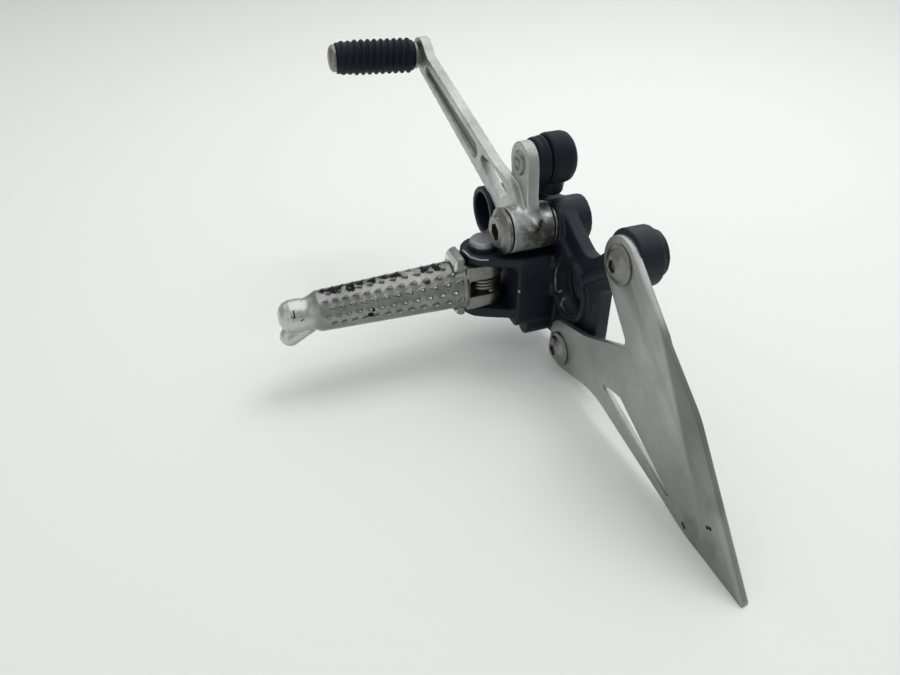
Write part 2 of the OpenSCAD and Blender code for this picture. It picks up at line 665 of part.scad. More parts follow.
// Place of the shank, with Z along it from the ball
module at_shank() {
    translate([ball_x, ball_y, ball_z]) rotate([0, -90 - shank_lean, 0]) children();
}
module rod_end() {
    color([0.12, 0.12, 0.13]) difference() {
        union() {
            bar(ball_x, ball_z, housing_r, housing_in, housing_out);
            at_shank() translate([0, 0, chamfer]) cylinder(h = shank_len - 2 * chamfer, r = shank_r);
            at_shank() translate([0, 0, shank_len - chamfer])
                cylinder(h = chamfer, r1 = shank_r, r2 = shank_r - chamfer);
        }
        translate([ball_x, ball_y, ball_z]) sphere(r = ball_r + running);
        bar(ball_x, ball_z, ball_r * 0.84, ball_y, housing_out + over);
        at_shank() translate([0, 0, shank_len - thread_depth]) cylinder(h = thread_depth + over, r = thread_r);
    }
}
module rod_end_boot() {
    inner = stud_flange_r + air;
    height = arm_in - slip - boot_in;
    color([0.05, 0.05, 0.05]) lathe(ball_x, ball_z) polygon(concat([[inner, boot_in]],
        [for (p = boot_shares) [boot_r - boot_folds * p.x, boot_in + height * p.y]], [[inner, arm_in - slip]]));
}
module rod_end_cap() {
    color([0.07, 0.07, 0.08]) difference() {
        lathe(ball_x, ball_z) polygon(concat(
            [for (p = cap_shares) [cap_r * p.x, cap_in + (housing_out - cap_in) * p.y]],
            [[housing_r + running, housing_out], [housing_r + running, housing_in - running],
            [0, housing_in - running]]));
        at_shank() cylinder(h = cap_r + over, r = shank_r + running);
    }
}

// Heel guard: a flat plate with a folded strip along its forward edge, and its two bolts
upper_pad_r = 12.2;
// Circles of the plate's outline, from a bolt: shares of the guard's depth and height, and radius in its depth
back_shares = [[-0.747, 0.28, 0.513], [-0.972, 0.977, 0.026], [-1.01, 0.953, 0.021]];
foot_shares = [[-0.545, 0.343, -0.523]];
// Circles of the notch between the bolts, from the upper bolt: along X and Z, and radius, in bolt spacings
notch_shares = [[-0.21, -0.3765, -0.4123], [-0.3814, 0.1085, -0.0415]];
bolt_spacing = norm([upper_x - low_x, upper_z - low_z]);
// Circles of the slot: share of the way from the guard's waist to its tip, reach inward and radius
slot_shares = [[0.17, 0.155, 0.022], [0.545, 0.03, 0.0125], [0.06, 0.109, 0.018]];
slot_foot = [low_x, low_z + guard_h * 0.343];
slot_way = [upper_x - guard_d, upper_z + guard_h] - slot_foot;
fold_share = [-0.307, 0.458];
fold_dir = atan2(guard_h * 0.62, -guard_d * 0.79);
fold_x = upper_x + guard_d * fold_share.x;
fold_z = upper_z + guard_h * fold_share.y;
guard_far = 2 * (guard_h + guard_d);
function from_bolt(x, z, shares) = [for (c = shares) [x + c.x * guard_d, z + c.y * guard_h, c.z * guard_d]];
guard_outline = belt(concat([[upper_x, upper_z, upper_pad_r]], from_bolt(upper_x, upper_z, back_shares),
    from_bolt(low_x, low_z, foot_shares),
    [[low_x, low_z, low_lug_r], [low_x + low_lug_r * 0.48, low_z + low_lug_r * 0.15, low_lug_r * 1.117]],
    [for (c = notch_shares) [upper_x, upper_z, 0] + bolt_spacing * c]));
slot_outline = belt([for (c = slot_shares)
    [slot_foot.x + slot_way.x * c.x + guard_d * c.y, slot_foot.y + slot_way.y * c.x, c.z * guard_d]]);
bolt_len = 7.2;
drive = 5;
drive_depth = 2.6;
// Head of the guard bolts, as shares of its radius and of its height
button_shares = [[1, 0], [1, 0.22], [0.8, 0.36], [0.68, 0.62], [0.46, 0.93], [0.3, 1], [0, 1]];
// Half plane beyond the fold line, or this side of it
module fold_side(side) {
    translate([fold_x, fold_z]) rotate([0, 0, fold_dir]) translate([-guard_far, side < 0 ? 0 : -guard_far])
        square([2 * guard_far, guard_far]);
}
module guard_flat() {
    difference() {
        polygon(guard_outline);
        polygon(slot_outline);
    }
}
module folded_strip() {
    translate([fold_x, seat + guard_t, fold_z]) rotate([0, -fold_dir, 0]) rotate([-fold_a, 0, 0])
        rotate([0, fold_dir, 0]) translate([-fold_x, -seat - guard_t, -fold_z])
            slab(seat, seat + guard_t) intersection() {
                guard_flat();
                fold_side(1);
            }
}
module heel_guard() {
    color([0.74, 0.75, 0.74]) difference() {
        union() {
            slab(seat, seat + guard_t) intersection() {
                guard_flat();
                fold_side(-1);
            }
            folded_strip();
        }
        bar(upper_x, upper_z, bolt_r + 2 * slip, seat - over, seat + guard_t + over);
        bar(low_x, low_z, bolt_r + 2 * slip, seat - over, seat + guard_t + over);
    }
}
module guard_bolt(x, z) {
    base = seat + guard_t;
    difference() {
        lathe(x, z) polygon(concat([[0, seat - bolt_len], [bolt_r - chamfer, seat - bolt_len],
            [bolt_r, seat - bolt_len + chamfer], [bolt_r, base]],
            [for (p = button_shares) [head_r * p.x, base + head_h * p.y]]));
        hex_socket(x, z, drive, base + head_h - drive_depth, base + head_h + over);
    }
}
module guard_bolts() {
    color("silver") {
        guard_bolt(upper_x, upper_z);
        guard_bolt(low_x, low_z);
    }
}

bracket();
mount_snap_ring();
peg_pin();
peg_pin_washer();
peg_pin_clip();
footpeg();
peg_spring();
gear_lever();
lever_bush();
lever_seals();
lever_washer();
pivot_bolt();
toe_pin();
toe_rubber();
ball_stud();
rod_end();
rod_end_boot();
rod_end_cap();
heel_guard();
guard_bolts();
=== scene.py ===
# %% [markdown]
# # A left rear set: bracket, studded footpeg, gear lever and heel guard
# The solids of this part come from a CAD model, in metres, already in their places.
# This lesson dresses them: it rounds the edges that casting and forging leave round,
# and gives every piece a finish of its own. The first cell loads the frame of solids.

# %% Load the frame
import bpy
import bmesh
import math
from mathutils import Matrix, Vector


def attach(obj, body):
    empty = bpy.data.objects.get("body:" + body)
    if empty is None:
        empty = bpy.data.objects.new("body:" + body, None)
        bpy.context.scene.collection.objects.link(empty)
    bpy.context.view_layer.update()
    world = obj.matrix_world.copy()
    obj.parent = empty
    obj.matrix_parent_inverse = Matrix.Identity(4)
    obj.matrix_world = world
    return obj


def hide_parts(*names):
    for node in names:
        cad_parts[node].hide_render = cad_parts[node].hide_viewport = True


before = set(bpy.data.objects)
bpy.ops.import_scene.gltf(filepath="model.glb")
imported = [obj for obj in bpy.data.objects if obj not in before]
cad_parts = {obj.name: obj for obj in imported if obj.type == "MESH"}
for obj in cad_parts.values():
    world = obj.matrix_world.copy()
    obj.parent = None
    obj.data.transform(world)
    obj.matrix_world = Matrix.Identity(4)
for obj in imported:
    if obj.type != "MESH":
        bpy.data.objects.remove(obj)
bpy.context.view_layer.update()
MM = 0.001

# %% [markdown]
# ## Camera
# The photograph looks down on the part from the front left. Its camera was worked out from
# the rings of the bosses, so here it is only placed: three directions make the columns of
# its matrix, and a 28.8 mm lens on the 36 mm sensor gives the same view.

# %% Camera
right = Vector((-0.00421, -0.93861, 0.34494))
up = Vector((0.80385, -0.20836, -0.55715))
back = Vector((0.59482, 0.27494, 0.75538))
camera_place = (0.1717, 0.17337, 0.31669)
camera_data = bpy.data.cameras.new("photo_camera")
camera_data.lens = 28.8
camera_data.sensor_width = 36
camera_data.clip_start = 0.01
camera = bpy.data.objects.new("photo_camera", camera_data)
view_turn = Matrix((right, up, back)).transposed().to_4x4()
camera.matrix_world = Matrix.Translation(camera_place) @ view_turn
bpy.context.collection.objects.link(camera)
bpy.context.scene.camera = camera
print("camera at", [round(v, 3) for v in camera.location])

# %% [markdown]
# ## Helpers for materials
# A material is a small graph of nodes. One function adds a node with its settings and its
# links, and one turns the colour that a person reads, sRGB hex, into the linear numbers
# that the renderer works in. Patterns use Object coordinates, which are metres here, so a
# noise's Scale counts its features per metre: 1000 is a grain of one millimetre.


# %% Helpers for materials
def linear(hex_code):
    """sRGB hex to linear RGBA."""
    parts = [int(hex_code[i:i + 2], 16) / 255 for i in (1, 3, 5)]
    return tuple(c / 12.92 if c <= 0.04045 else ((c + 0.055) / 1.055) ** 2.4 for c in parts) + (1.0,)


def add(tree, kind, settings=None, **links):
    """Adds a node. Settings are attributes; links are input names, with a value or a socket."""
    node = tree.nodes.new("ShaderNode" + kind)
    for key, value in (settings or {}).items():
        setattr(node, key, value)
    for key, value in links.items():
        numbered = key.startswith("in") and key[2:].isdigit()
        socket = node.inputs[int(key[2:])] if numbered else node.inputs[key.replace("_", " ")]
        if isinstance(value, bpy.types.NodeSocket):
            tree.links.new(value, socket)
        else:
            socket.default_value = value
    return node


def new_material(name):
    """A new material, its node tree, its shader and the Object coordinates."""
    material = bpy.data.materials.new(name)
    material.use_nodes = True
    tree = material.node_tree
    shader = tree.nodes["Principled BSDF"]
    place = add(tree, "TexCoord").outputs["Object"]
    return material, tree, shader, place


def ramp(tree, source, stops):
    """The colours, or the plain numbers, that a pattern runs through as (position, value) stops."""
    node = add(tree, "ValToRGB", Fac=source)
    points = node.color_ramp.elements
    while len(points) < len(stops):
        points.new(0.5)
    for point, (position, value) in zip(points, stops):
        point.position = position
        point.color = linear(value) if isinstance(value, str) else (value, value, value, 1.0)
    return node.outputs["Color"]


def any_of(tree, masks):
    """One mask that is 1 wherever any of several masks is."""
    total = masks[0]
    for mask in masks[1:]:
        total = add(tree, "Math", {"operation": "MAXIMUM"}, in0=total, in1=mask).outputs["Value"]
    return total


def mark(tree, place, spots_mm, radius_mm, ragged=None, reach=1.0, inner=0.75):
    """A mask that is 1 round the given places. It fades out from a share of the radius, inner,
    and a ragged noise moves its edge by up to a share of the radius, reach."""
    radius = radius_mm * MM
    masks = []
    for spot in spots_mm:
        away = add(tree, "VectorMath", {"operation": "DISTANCE"}, in0=place, in1=[v * MM for v in spot])
        level = away.outputs["Value"]
        if ragged is not None:
            moved = add(tree, "Math", {"operation": "MULTIPLY_ADD"},
                        in0=ragged, in1=radius * 2 * reach, in2=level)
            level = add(tree, "Math", {"operation": "SUBTRACT"},
                        in0=moved.outputs["Value"], in1=radius * reach).outputs["Value"]
        near = add(tree, "MapRange", Value=level, From_Min=radius, From_Max=radius * inner)
        masks.append(near.outputs["Result"])
    return any_of(tree, masks)


def scratch(tree, place, start_mm, end_mm, radius_mm):
    """A mask that is 1 along a straight scratch from one place to another."""
    start = Vector(start_mm) * MM
    way = Vector(end_mm) * MM - start
    away = add(tree, "VectorMath", {"operation": "SUBTRACT"}, in0=place, in1=start).outputs["Vector"]
    run = add(tree, "VectorMath", {"operation": "DOT_PRODUCT"}, in0=away, in1=way.normalized())
    held = add(tree, "MapRange", Value=run.outputs["Value"], From_Max=way.length, To_Max=way.length)
    foot = add(tree, "VectorMath", {"operation": "SCALE"}, in0=way.normalized(), in3=held.outputs["Result"])
    gap = add(tree, "VectorMath", {"operation": "DISTANCE"}, in0=away, in1=foot.outputs["Vector"])
    return add(tree, "MapRange", Value=gap.outputs["Value"], From_Min=radius_mm * MM,
               From_Max=radius_mm * MM * 0.6).outputs["Result"]


def scratches(tree, place, lines_mm, radius_mm):
    """One mask for several scratches, each from its first place to its last."""
    return any_of(tree, [scratch(tree, place, start, end, radius_mm)
                         for line in lines_mm for start, end in zip(line, line[1:])])


def tinted(tree, shader, colour, hex_code, *masks):
    """Lays one colour over another where all the masks are 1, and gives the new colour. A number
    among the masks makes the layer that much weaker."""
    share = masks[0]
    for mask in masks[1:]:
        share = add(tree, "Math", {"operation": "MULTIPLY"}, in0=share, in1=mask).outputs["Value"]
    mixed = add(tree, "Mix", {"data_type": "RGBA"}, Factor=share, A=colour, B=linear(hex_code))
    tree.links.new(mixed.outputs["Result"], shader.inputs["Base Color"])
    return mixed.outputs["Result"]


print("material helpers ready")

# %% [markdown]
# ## Black bracket paint
# The bracket is sand-cast aluminium under a thin satin black paint. The paint follows the
# grain of the casting, a millimetre or so across, wears bright where boots and the peg rub
# its edges, and holds a little grey dust. Pointiness finds the sharp edges for the wear, and
# the arc that the peg's fork rubs on its ear is drawn as a scratch of its own.

# %% Black bracket paint
# Blue-black and cloudy, with a broken satin shine: paint that has dried over sand marks
bracket_paint, t, shader, place = new_material("satin_black_cast_paint")
sand = add(t, "TexNoise", Vector=place, Scale=900.0, Detail=4.0, Roughness=0.6).outputs["Fac"]
patches = add(t, "TexNoise", Vector=place, Scale=70.0, Detail=5.0, Roughness=0.55).outputs["Fac"]
sharp = add(t, "NewGeometry").outputs["Pointiness"]
uneven = add(t, "Math", {"operation": "MULTIPLY_ADD"}, in0=patches, in1=0.05, in2=sharp)
edge_wear = add(t, "MapRange", Value=uneven.outputs["Value"], From_Min=0.585, From_Max=0.61)
ear_arc = [(-8.3, 58.5, 21), (-8.9, 57.4, 27.7), (-9.4, 53.5, 31.4), (-9.2, 50, 33.2)]
arc_wear = scratches(t, place, [ear_arc], 0.55)
paint_chips = mark(t, place, [(-25.7, 36.3, 42), (-9.4, 36, 14)], 0.9, patches, 0.6)
worn = any_of(t, [edge_wear.outputs["Result"], arc_wear, paint_chips])
paint = ramp(t, patches, [(0.3, "#040b18"), (0.6, "#081320"), (0.8, "#12202f")])
tinted(t, shader, paint, "#a3a6a8", worn)
t.links.new(worn, shader.inputs["Metallic"])
t.links.new(ramp(t, patches, [(0.3, 0.42), (0.7, 0.6)]), shader.inputs["Roughness"])
shader.inputs["Specular IOR Level"].default_value = 0.38
bump = add(t, "Bump", Strength=0.3, Distance=0.0003, Height=sand)
t.links.new(bump.outputs["Normal"], shader.inputs["Normal"])
print("made", bracket_paint.name)

# %% [markdown]
# ## Forged, cast and sheet aluminium
# Three pieces are bare aluminium, and each was made in its own way. The lever was forged and
# tumbled, so it is bright, with oil and hammer marks round its hub, painted shade on its arm's
# lower side and a pocket darkened by grime and painted shade. The footpeg was cast: its tooth
# tops are rubbed bright, boots have left black rubber between them, and painted shade darkens
# its hollows and the feet of its teeth. The guard is rolled sheet, brushed along its length and
# scratched, darker towards its foot, with painted shade along the bend at its crease. The marks
# are masks: round a place, along a line, below a level or above the peg's barrel.


# %% Forged aluminium of the lever
def aluminium(name, low, high, rough, grain_scale, bump_mm, stretch=(1, 1, 1), turn=(0, 0, 0)):
    """Bare aluminium with a blotchy colour, a broken shine and a fine grain, drawn along one direction."""
    material, t, shader, place = new_material(name)
    drawn = add(t, "Mapping", Vector=place, Rotation=turn, Scale=stretch).outputs["Vector"]
    grain = add(t, "TexNoise", Vector=drawn, Scale=grain_scale, Detail=5.0, Roughness=0.6).outputs["Fac"]
    blotch = add(t, "TexNoise", Vector=place, Scale=45.0, Detail=6.0, Roughness=0.6).outputs["Fac"]
    both = add(t, "Math", {"operation": "MULTIPLY_ADD"}, in0=grain, in1=0.4, in2=blotch).outputs["Value"]
    colour = ramp(t, both, [(0.5, low), (0.9, high)])
    t.links.new(colour, shader.inputs["Base Color"])
    t.links.new(ramp(t, both, [(0.5, rough + 0.07), (0.9, rough - 0.07)]), shader.inputs["Roughness"])
    shader.inputs["Metallic"].default_value = 1.0
    bump = add(t, "Bump", Strength=0.35, Distance=bump_mm * MM, Height=grain)
    t.links.new(bump.outputs["Normal"], shader.inputs["Normal"])
    return material, t, shader, place, colour


# Light grey and soft: tumbling leaves 2 mm dimples that scatter the light
forged, t, shader, place, colour = aluminium(
    "forged_tumbled_aluminium", "#abaca9", "#c8c9c6", 0.47, 500.0, 0.3)
pivot = Vector((5.5, 36.8, 33.0))
along, across = Vector((0.4091, 0.0628, -0.9103)), Vector((0.9121, 0, 0.4099))
outward = Vector((-0.0257, 0.998, 0.0573))


def on_blade(u, v, n):
    """A place on the lever's blade in mm: along it, across it and out of its face."""
    return pivot + u * along + v * across + n * outward


ragged = add(t, "TexNoise", Vector=place, Scale=180.0, Detail=6.0, Roughness=0.62).outputs["Fac"]
# The pocket sunk into the blade is darkened: grime in it and painted shade
groove = scratches(t, place, [[on_blade(52, 2.9, -1.8), on_blade(117, -1.4, -1.8)]], 5.2)
height = add(t, "VectorMath", {"operation": "DOT_PRODUCT"}, in0=place, in1=outward).outputs["Value"]
face_level = pivot.dot(outward) * MM
sunk = add(t, "MapRange", Value=height, From_Min=face_level - 0.5 * MM,
           From_Max=face_level - 1.3 * MM).outputs["Result"]
colour = tinted(t, shader, colour, "#5d5f5e", groove, sunk, 0.75)
oily_spots = [(6.7, 30.8, 44.2), (8.2, 24, 44), (12, 20.5, 41), (2, 22, 44.5)]
oily = mark(t, place, oily_spots, 10.0, ragged, 1.2, 0.3)
colour = tinted(t, shader, colour, "#4c4a46", oily, 0.86)
peened_spots = [(17.3, 36.8, 37.8), (14.3, 30.2, 41.7), (14, 22.7, 40.5), (16.2, 33.5, 39.6)]
colour = tinted(t, shader, colour, "#dcddd9", mark(t, place, peened_spots, 3.0, ragged, 1.6, 0.2))
notch = mark(t, place, [(12.1, 26.9, 42.0), (10.8, 28.2, 42.8)], 1.6, ragged, 1.2, 0.4)
colour = tinted(t, shader, colour, "#1f1e1c", notch, 0.9)
# Painted shade on the lower side of the arm, where it meets the hub
arm_side_painted_shade = mark(t, place, [(16.8, 22.9, 32.8), (16.7, 27.9, 41.0)], 4.5, ragged, 0.6, 0.1)
tinted(t, shader, colour, "#5a5a57", arm_side_painted_shade, 0.5)
print("made", forged.name)

# %% Cast aluminium of the footpeg
# Greyer and shinier than the lever: a cast skin that boots have polished
cast, t, shader, place, colour = aluminium("cast_footpeg_aluminium", "#7f7f7b", "#a6a6a1", 0.33, 600.0, 0.3)
ragged = add(t, "TexNoise", Vector=place, Scale=230.0, Detail=5.0, Roughness=0.6).outputs["Fac"]
sharp = add(t, "NewGeometry").outputs["Pointiness"]
# Painted shade: hollows and creases, where Pointiness is low, are darkened
hollow_painted_shade = add(t, "MapRange", Value=sharp, From_Min=0.5, From_Max=0.45).outputs["Result"]
colour = tinted(t, shader, colour, "#3b3b39", hollow_painted_shade, 0.6)
rubber_spots = [(-16.7, 128, 21), (-16.6, 123, 19), (-16.5, 118, 22), (-16.4, 113, 19), (-16.2, 107, 21),
                (-16, 101, 18), (-15.8, 95, 20), (-15.2, 79, 20.5), (-15, 73, 21.5)]
colour = tinted(t, shader, colour, "#17181a", mark(t, place, rubber_spots, 3.4, ragged, 1.6))
scuff = mark(t, place, [(-28.2, 111, 31.9), (-25.5, 109, 33)], 1.5, ragged, 1.5)
colour = tinted(t, shader, colour, "#1c1d20", scuff)
brown = mark(t, place, [(-17.9, 80, 28.9)], 1.6, ragged, 1.2)
colour = tinted(t, shader, colour, "#4d3d20", brown)
nick_lines = [[(-21.8, 150, 27.4), (-23.6, 146.6, 28.6), (-20.6, 146.6, 26.2)],
              [(-25.6, 144.2, 29.2), (-24.4, 141.4, 28.9)], [(-23.6, 143.6, 28.6), (-22.4, 140.9, 28.3)],
              [(-21.6, 143.2, 27.9), (-20.4, 140.6, 27.3)]]
nicks = scratches(t, place, nick_lines, 0.4)
colour = tinted(t, shader, colour, "#2c2d2e", nicks)
cut = scratches(t, place, [[(-27.5, 145.8, 29.3), (-19.5, 145.5, 25.4)]], 0.35)
colour = tinted(t, shader, colour, "#3a3b3c", cut)
# How far a point stands above the barrel, which narrows from 12.5 mm to 10.2 mm
peg_x, peg_z, taper = -27.2, 21, 0.03202
barrel_start, barrel_radius = 62.9, 12.525
flat = add(t, "VectorMath", {"operation": "MULTIPLY"}, in0=place, in1=(1, 0, 1)).outputs["Vector"]
axis_away = add(t, "VectorMath", {"operation": "DISTANCE"}, in0=flat, in1=(peg_x * MM, 0, peg_z * MM))
side = add(t, "SeparateXYZ", Vector=place).outputs["Y"]
proud = add(t, "Math", {"operation": "MULTIPLY_ADD"},
            in0=side, in1=taper, in2=axis_away.outputs["Value"]).outputs["Value"]
barrel = (barrel_radius + taper * barrel_start) * MM
past_fork = add(t, "Math", {"operation": "GREATER_THAN"}, in0=side, in1=0.064).outputs["Value"]
before_nose = add(t, "Math", {"operation": "LESS_THAN"}, in0=side, in1=0.1345).outputs["Value"]
tops = add(t, "MapRange", Value=proud, From_Min=barrel + 0.9 * MM, From_Max=barrel + 1.6 * MM)
# Painted shade in a band round the feet of the teeth, just above the barrel
above = add(t, "MapRange", Value=proud, From_Min=barrel + 0.1 * MM, From_Max=barrel + 0.3 * MM)
under = add(t, "MapRange", Value=proud, From_Min=barrel + 1.1 * MM, From_Max=barrel + 0.5 * MM)
colour = tinted(t, shader, colour, "#474744", above.outputs["Result"], under.outputs["Result"],
                before_nose, past_fork, 0.8)
colour = tinted(t, shader, colour, "#e3e3df", tops.outputs["Result"], before_nose, past_fork)
# The nose is rubbed bright, apart from its nicks
nose = add(t, "MapRange", Value=side, From_Min=0.136, From_Max=0.142, To_Max=0.78).outputs["Result"]
rubbed = add(t, "Math", {"operation": "SUBTRACT", "use_clamp": True}, in0=nose, in1=nicks)
tinted(t, shader, colour, "#cfcfcb", rubbed.outputs["Value"])
print("made", cast.name)

# %% Brushed sheet of the heel guard
# Soft streaks along the sheet: 4 mm grain drawn out, coarser than real brushing so that it shows
sheet, t, shader, place, colour = aluminium(
    "brushed_guard_sheet", "#a4a6a3", "#b9bbb8", 0.42, 260.0, 0.05, (6, 6, 0.25), (0, math.radians(44), 0))
ragged = add(t, "TexNoise", Vector=place, Scale=60.0, Detail=6.0, Roughness=0.6).outputs["Fac"]
# Painted shade: the sheet outside its crease, a band about 10 mm wide, is darkened as the shade of a bend
# there; and the sheet is darker towards its foot
crease, outside = Vector((5.2, 0, 137.2)), Vector((0.6, 0, 0.8))
top_corner, downward = Vector((13.5, 0, 131.3)), Vector((-0.8, 0, 0.6))
past = add(t, "VectorMath", {"operation": "DOT_PRODUCT"}, in0=place, in1=outside).outputs["Value"]
level = crease.dot(outside) * MM
fold_band_painted_shade = add(t, "MapRange", Value=past, From_Min=level - 1.0 * MM, From_Max=level + 1.2 * MM)
down = add(t, "VectorMath", {"operation": "DOT_PRODUCT"}, in0=place, in1=downward).outputs["Value"]
begin = top_corner.dot(downward) * MM
shown = add(t, "MapRange", Value=down, From_Min=begin - 1.5 * MM, From_Max=begin + 1.5 * MM)
fades = add(t, "MapRange", Value=down, From_Min=begin + 85 * MM, From_Max=begin + 45 * MM)
colour = tinted(t, shader, colour, "#73736d", fold_band_painted_shade.outputs["Result"], shown.outputs["Result"],
                fades.outputs["Result"], 0.78)
foot = add(t, "MapRange", Value=down, From_Min=begin + 30 * MM, From_Max=begin + 95 * MM)
colour = tinted(t, shader, colour, "#7f807a", foot.outputs["Result"], 0.62)
grime_spots = [(-60, 21, 172), (-66, 21, 180), (-58, 21, 190), (-34, 21, 186), (-55, 21, 66), (-60, 21, 74)]
grime = mark(t, place, grime_spots, 9.0, ragged, 2.2, 0.1)
colour = tinted(t, shader, colour, "#665f52", grime, 0.42)
fine_lines = [[(-20, 21, 130), (-24, 21, 135)], [(-30, 21, 124), (-31, 21, 129)],
              [(2, 21, 122), (-2, 21, 126)], [(-36, 21, 147), (-41, 21, 150)],
              [(-54, 21, 178), (-60, 21, 180)]]
colour = tinted(t, shader, colour, "#6b6b66", scratches(t, place, fine_lines, 0.4), 0.3)
chip_spots = [(-62.7, 21, 172.6), (-49.3, 21, 185), (-62.1, 21, 171.4), (-50.2, 21, 183.6)]
tinted(t, shader, colour, "#26221f", mark(t, place, chip_spots, 1.0))
print("made", sheet.name)

# %% [markdown]
# ## Steel and rubber
# The bolts, pins and springs are zinc-plated steel: bright, a little yellow and slightly
# speckled. The socket end is blackened. The rubber pieces are carbon black rubber, matt,
# with a bloom of grey dust. The speckles are drawn 1 to 4 mm wide, coarser than the real
# ones, because real plating is too fine to show at this size.

# %% Steel and rubber
# A faintly yellow shine with a few darker flecks
zinc, t, shader, place = new_material("zinc_plated_steel")
speck = add(t, "TexNoise", Vector=place, Scale=700.0, Detail=4.0).outputs["Fac"]
t.links.new(ramp(t, speck, [(0.3, "#7c7b77"), (0.7, "#8c8b87")]), shader.inputs["Base Color"])
t.links.new(ramp(t, speck, [(0.3, 0.27), (0.7, 0.34)]), shader.inputs["Roughness"])
shader.inputs["Metallic"].default_value = 1.0

# Paler and duller, as turned faces are before they are rubbed
satin, t, shader, place = new_material("satin_zinc_steel")
speck = add(t, "TexNoise", Vector=place, Scale=500.0, Detail=5.0).outputs["Fac"]
t.links.new(ramp(t, speck, [(0.3, "#989a9c"), (0.7, "#adafb1")]), shader.inputs["Base Color"])
t.links.new(ramp(t, speck, [(0.3, 0.42), (0.7, 0.54)]), shader.inputs["Roughness"])
shader.inputs["Metallic"].default_value = 1.0

# Dark grey with a soft shine: bare wire under old oil
ring_steel, t, shader, place = new_material("oiled_spring_steel")
speck = add(t, "TexNoise", Vector=place, Scale=260.0, Detail=4.0).outputs["Fac"]
t.links.new(ramp(t, speck, [(0.3, "#4a4b4b"), (0.7, "#74746f")]), shader.inputs["Base Color"])
shader.inputs["Roughness"].default_value = 0.38
shader.inputs["Metallic"].default_value = 1.0

# Nearly black, half metal and half oxide
black_steel, t, shader, place = new_material("blackened_steel")
speck = add(t, "TexNoise", Vector=place, Scale=500.0, Detail=4.0).outputs["Fac"]
t.links.new(ramp(t, speck, [(0.35, "#17191b"), (0.7, "#34373a")]), shader.inputs["Base Color"])
shader.inputs["Roughness"].default_value = 0.42
shader.inputs["Metallic"].default_value = 0.6

# Warm and speckled: pressed powder that holds oil
bronze, t, shader, place = new_material("sintered_bronze")
speck = add(t, "TexNoise", Vector=place, Scale=900.0, Detail=3.0).outputs["Fac"]
t.links.new(ramp(t, speck, [(0.35, "#7d6a48"), (0.7, "#9c8a64")]), shader.inputs["Base Color"])
shader.inputs["Roughness"].default_value = 0.4
shader.inputs["Metallic"].default_value = 1.0

# Matt blue-black, paler where dust clings
rubber, t, shader, place = new_material("carbon_black_rubber")
dust = add(t, "TexNoise", Vector=place, Scale=160.0, Detail=6.0, Roughness=0.6).outputs["Fac"]
t.links.new(ramp(t, dust, [(0.3, "#040814"), (0.6, "#07101d"), (0.8, "#0f1a2a")]), shader.inputs["Base Color"])
t.links.new(ramp(t, dust, [(0.3, 0.5), (0.7, 0.66)]), shader.inputs["Roughness"])
shader.inputs["Specular IOR Level"].default_value = 0.25
bump = add(t, "Bump", Strength=0.2, Distance=0.0001, Height=dust)
t.links.new(bump.outputs["Normal"], shader.inputs["Normal"])
print("made steel, bronze and rubber")

# %% [markdown]
# ## Rounding cast and forged pieces
# A casting has no sharp edge anywhere, and a bevel can't follow every rib and boss. A voxel
# remesh can: it skins the solid with small even squares, and a few rounds of smoothing pull
# every edge into a soft radius, as the mould does. The voxel sets how small a form survives.
# Before that, the lever's window is cut to its full width, and the lump that the forging die
# leaves on its hub is added, so that the skin blends both into the blade.


# %% Rounding cast and forged pieces
def object_from(bm, name):
    """A new object that takes over a finished bmesh."""
    mesh = bpy.data.meshes.new(name)
    bm.to_mesh(mesh)
    bm.free()
    piece = bpy.data.objects.new(name, mesh)
    bpy.context.collection.objects.link(piece)
    return piece


def copy_of(node, name):
    """A merged copy of a CAD node's mesh, as a new object."""
    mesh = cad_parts[node].data.copy()
    mesh.materials.clear()
    bm = bmesh.new()
    bm.from_mesh(mesh)
    bmesh.ops.remove_doubles(bm, verts=bm.verts, dist=1e-6)
    bm.to_mesh(mesh)
    bm.free()
    piece = bpy.data.objects.new(name, mesh)
    bpy.context.collection.objects.link(piece)
    return piece


def apply_modifiers(piece):
    """Turns what an object's modifiers make into its own mesh."""
    graph = bpy.context.evaluated_depsgraph_get()
    mesh = bpy.data.meshes.new_from_object(piece.evaluated_get(graph))
    piece.modifiers.clear()
    piece.data = mesh


def dress(piece, node, body, material):
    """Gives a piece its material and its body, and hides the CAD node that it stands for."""
    piece.data.materials.clear()
    piece.data.materials.append(material)
    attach(piece, body)
    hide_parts(node)
    print(piece.name, "has", len(piece.data.polygons), "faces")


def add_drop(mesh, ends_mm):
    """Adds a drop-shaped lump to a mesh: the hull of a ball at each end, given as place and radius."""
    bm = bmesh.new()
    for place_mm, radius_mm in ends_mm:
        spot = Matrix.Translation(Vector(place_mm) * MM)
        bmesh.ops.create_icosphere(bm, subdivisions=3, radius=radius_mm * MM, matrix=spot)
    hull = bmesh.ops.convex_hull(bm, input=bm.verts)
    inside = list(set(hull["geom_interior"] + hull["geom_unused"]))
    bmesh.ops.delete(bm, geom=inside, context="VERTS")
    bmesh.ops.recalc_face_normals(bm, faces=bm.faces)
    bm.from_mesh(mesh)
    bm.to_mesh(mesh)
    bm.free()


